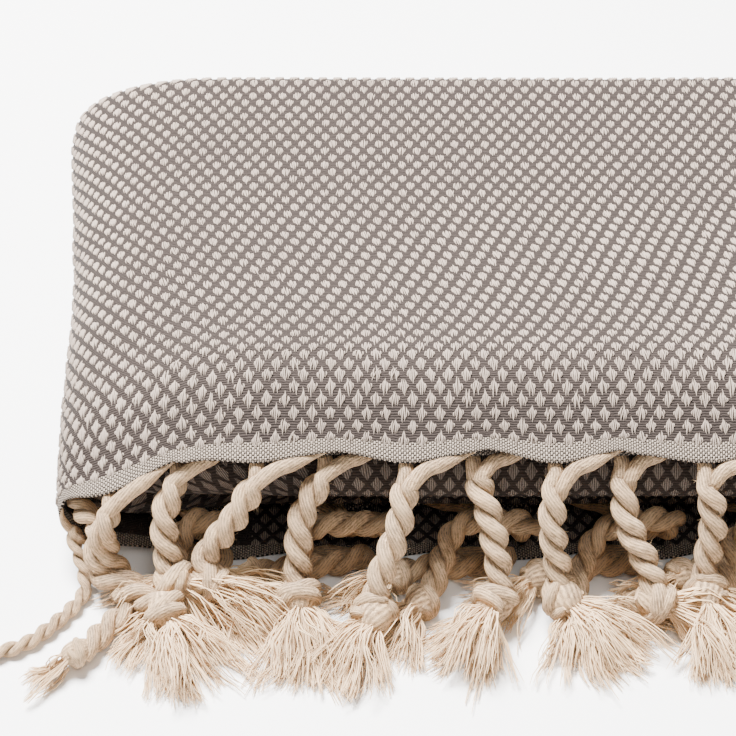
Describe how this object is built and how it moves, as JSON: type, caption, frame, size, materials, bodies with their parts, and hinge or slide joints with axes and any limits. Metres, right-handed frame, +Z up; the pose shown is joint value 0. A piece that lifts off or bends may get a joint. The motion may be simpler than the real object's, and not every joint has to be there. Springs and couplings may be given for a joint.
{
  "type": "hammam towel",
  "caption": "Flat-woven cotton hammam towel with a small all-over diamond weave, folded into a stack, its knotted twisted fringes hanging along the front.",
  "frame": {"origin": "centre of the bounding box's floor rectangle, on the surface that the towel lies on", "axes": "+Z up, -Y the front where the fringed edges come out, -X the rounded side fold"},
  "size_m": [0.3026, 0.1962, 0.046],
  "materials": {
    "woven_cotton": "matt cotton, ivory diamond floats on a grey-taupe ground",
    "twisted_cotton": "matt cream cotton, soft and slightly fuzzy"
  },
  "bodies": {
    "root": {"towel_cloth": "woven_cotton", "fringe_outer": "twisted_cotton", "fringe_inner": "twisted_cotton"}
  },
  "joints": []
}
